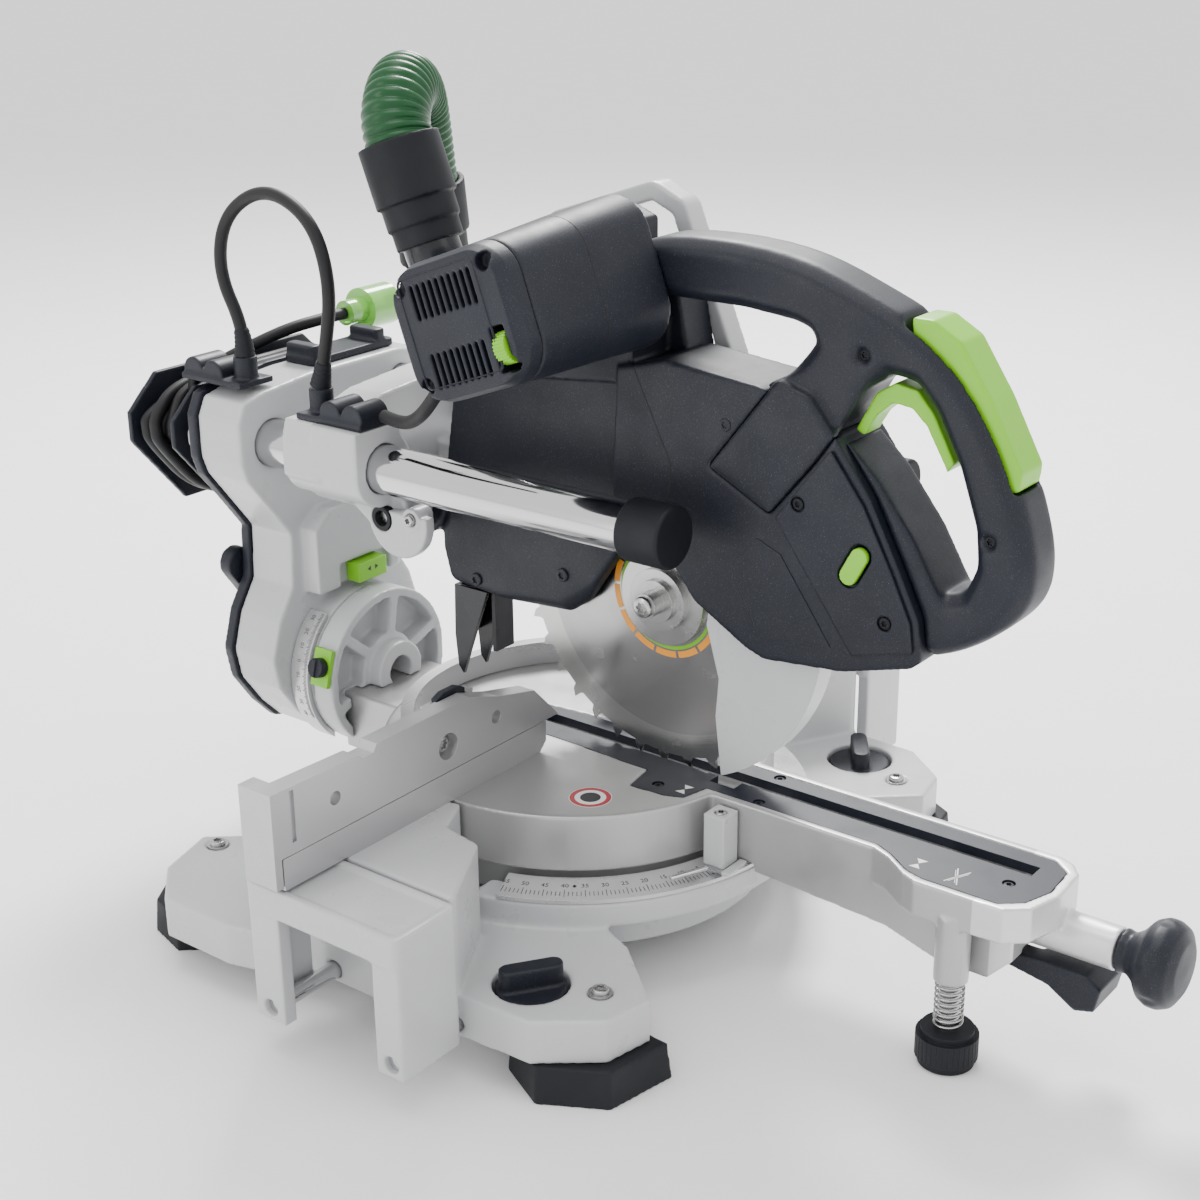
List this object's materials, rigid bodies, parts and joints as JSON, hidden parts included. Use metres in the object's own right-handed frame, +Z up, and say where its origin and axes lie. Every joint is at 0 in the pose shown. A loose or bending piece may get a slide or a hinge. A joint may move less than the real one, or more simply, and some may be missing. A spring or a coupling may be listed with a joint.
{
  "type": "sliding mitre saw",
  "caption": "Bench-top sliding compound mitre saw with a swivelling table, tilting column, pull-out table ends and guarded blade.",
  "frame": {"origin": "the mitre pivot's axis where it meets the surface the saw stands on", "axes": "+X to the operator's right along the fence, +Y away from the operator, +Z up"},
  "size_m": [0.52, 0.6945, 0.5085],
  "materials": {
    "white_paint": "satin powder coat",
    "cast_silver": "machined",
    "clear_anodised": "satin anodised",
    "black_plastic": "fine grain moulded",
    "insert_plastic": "fine grain moulded",
    "green_plastic": "satin moulded",
    "black_rubber": "matte",
    "cord_rubber": "matte",
    "chrome_steel": "polished",
    "zinc_steel": "bright zinc",
    "blade_steel": "ground",
    "scale_metal": "etched",
    "guard_white": "satin moulded",
    "hose_green": "satin ribbed",
    "smoke_plastic": "smoked",
    "flap_rubber": "matte",
    "plug_green": "clear tinted"
  },
  "bodies": {
    "base": {"base_casting": "white_paint", "rubber_feet": "black_rubber", "foot_bushes": "zinc_steel", "mitre_scale_ring": "scale_metal", "fence_casting": "clear_anodised"},
    "extension_left": {"table_extension_left": "white_paint", "extension_rods_left": "chrome_steel"},
    "extension_right": {"table_extension_right": "white_paint", "extension_rods_right": "chrome_steel"},
    "clamp_left": {"clamp_knob_left": "black_plastic"},
    "clamp_right": {"clamp_knob_right": "black_plastic"},
    "fence_left": {"fence_slide_left": "clear_anodised"},
    "fence_right": {"fence_slide_right": "clear_anodised"},
    "turntable": {"turntable": "cast_silver", "kerf_insert": "insert_plastic", "pointer_bracket": "white_paint", "bevel_hub": "white_paint", "bevel_indicator": "green_plastic", "support_spring": "zinc_steel"},
    "support": {"support_screw": "zinc_steel", "support_foot": "black_rubber"},
    "mitre_clamp": {"mitre_knob": "black_plastic"},
    "detent": {"detent_lever": "black_plastic"},
    "bevel_stop": {"bevel_stop_knob": "black_plastic"},
    "column": {"tilt_column": "white_paint", "column_cover": "black_plastic", "bevel_scale": "scale_metal", "slide_rail_left": "chrome_steel", "slide_rail_right": "chrome_steel", "rail_caps": "black_rubber", "cable_winder": "black_plastic", "column_clip": "black_plastic", "mains_winding": "cord_rubber", "mains_lead": "cord_rubber", "mains_plug": "plug_green", "cord_loop": "cord_rubber"},
    "bevel_clamp": {"bevel_lever": "black_plastic"},
    "bevel_button": {"bevel_slide_button": "green_plastic"},
    "carriage": {"carriage": "white_paint", "carriage_clip": "black_plastic", "stop_bracket": "white_paint"},
    "head": {"blade_housing": "black_plastic", "main_handle": "black_plastic", "side_cover": "black_plastic", "motor_body": "black_plastic", "motor_cap": "black_plastic", "motor_lead": "cord_rubber", "carry_loop": "white_paint", "dust_elbow": "smoke_plastic", "hose_cuffs": "black_rubber", "dust_hose": "hose_green", "chip_deflector": "smoke_plastic", "chip_flap": "flap_rubber"},
    "grip": {"grip_lever": "green_plastic"},
    "trigger": {"trigger": "green_plastic"},
    "light_button": {"led_button": "green_plastic"},
    "dial": {"speed_dial": "green_plastic"},
    "blade": {"saw_blade": "blade_steel", "blade_flange": "zinc_steel"},
    "guard": {"lower_guard": "guard_white"}
  },
  "joints": [
    {"name": "mitre", "type": "hinge", "parent": "base", "child": "turntable", "pos_m": [0, 0, 0.08], "axis": [0, 0, -1], "range_deg": [-55, 55]},
    {"name": "bevel", "type": "hinge", "parent": "turntable", "child": "column", "pos_m": [0, 0.163, 0.107], "axis": [0, -1, 0], "range_deg": [0, 45]},
    {"name": "slide", "type": "slide", "parent": "column", "child": "carriage", "axis": [0, -1, 0], "range_m": [0, 0.175], "deforming": ["cord_loop"]},
    {"name": "chop", "type": "hinge", "parent": "carriage", "child": "head", "pos_m": [0, 0.105, 0.239], "axis": [-1, 0, 0], "range_deg": [0, 28], "deforming": ["motor_lead"]},
    {"name": "blade_spin", "type": "hinge", "parent": "head", "child": "blade", "pos_m": [0, -0.0679, 0.2102], "axis": [1, 0, 0], "continuous": true},
    {"name": "guard_swing", "type": "hinge", "parent": "head", "child": "guard", "pos_m": [0, -0.0679, 0.2102], "axis": [1, 0, 0], "range_deg": [0, 54]},
    {"name": "extension_left_slide", "type": "slide", "parent": "base", "child": "extension_left", "axis": [-1, 0, 0], "range_m": [0, 0.08]},
    {"name": "extension_right_slide", "type": "slide", "parent": "base", "child": "extension_right", "axis": [1, 0, 0], "range_m": [0, 0.08]},
    {"name": "clamp_left_turn", "type": "hinge", "parent": "base", "child": "clamp_left", "pos_m": [-0.1723, -0.1023, 0.04], "axis": [0, 0, 1], "range_deg": [0, 90]},
    {"name": "clamp_right_turn", "type": "hinge", "parent": "base", "child": "clamp_right", "pos_m": [0.1723, -0.1023, 0.04], "axis": [0, 0, 1], "range_deg": [0, 90]},
    {"name": "fence_left_slide", "type": "slide", "parent": "base", "child": "fence_left", "axis": [-1, 0, 0], "range_m": [0, 0.06]},
    {"name": "fence_right_slide", "type": "slide", "parent": "base", "child": "fence_right", "axis": [1, 0, 0], "range_m": [0, 0.06]},
    {"name": "support_height", "type": "slide", "parent": "turntable", "child": "support", "axis": [0, 0, 1], "range_m": [0, 0.012], "deforming": ["support_spring"]},
    {"name": "mitre_clamp_turn", "type": "hinge", "parent": "turntable", "child": "mitre_clamp", "pos_m": [0, -0.38, 0.0785], "axis": [0, 1, 0], "range_deg": [0, 180]},
    {"name": "detent_press", "type": "hinge", "parent": "turntable", "child": "detent", "pos_m": [-0.006, -0.305, 0.06], "axis": [1, 0, 0], "range_deg": [0, 10], "stiffness_Nm_per_rad": 2},
    {"name": "bevel_stop_turn", "type": "hinge", "parent": "turntable", "child": "bevel_stop", "pos_m": [-0.05787, 0.17, 0.12359], "axis": [-0.9613, 0, 0.2756], "range_deg": [0, 90]},
    {"name": "bevel_clamp_turn", "type": "hinge", "parent": "column", "child": "bevel_clamp", "pos_m": [0, 0.25, 0.107], "axis": [0, 1, 0], "range_deg": [0, 40]},
    {"name": "bevel_button_shift", "type": "slide", "parent": "column", "child": "bevel_button", "axis": [1, 0, 0], "range_m": [-0.008, 0.008]},
    {"name": "grip_press", "type": "hinge", "parent": "head", "child": "grip", "pos_m": [0, -0.285, 0.319], "axis": [-1, 0, 0], "range_deg": [0, 3], "stiffness_Nm_per_rad": 6},
    {"name": "trigger_pull", "type": "hinge", "parent": "head", "child": "trigger", "pos_m": [0, -0.197, 0.334], "axis": [-1, 0, 0], "range_deg": [0, 4], "stiffness_Nm_per_rad": 4},
    {"name": "light_press", "type": "slide", "parent": "head", "child": "light_button", "axis": [1, 0, 0], "range_m": [0, 0.001], "stiffness_N_per_m": 800},
    {"name": "dial_turn", "type": "hinge", "parent": "head", "child": "dial", "pos_m": [-0.1214, -0.056, 0.381], "axis": [0, 0.9397, -0.342], "range_deg": [-150, 150]}
  ],
  "couplings": [
    {"joint": "guard_swing", "follows": "chop", "ratio": 1.9}
  ]
}
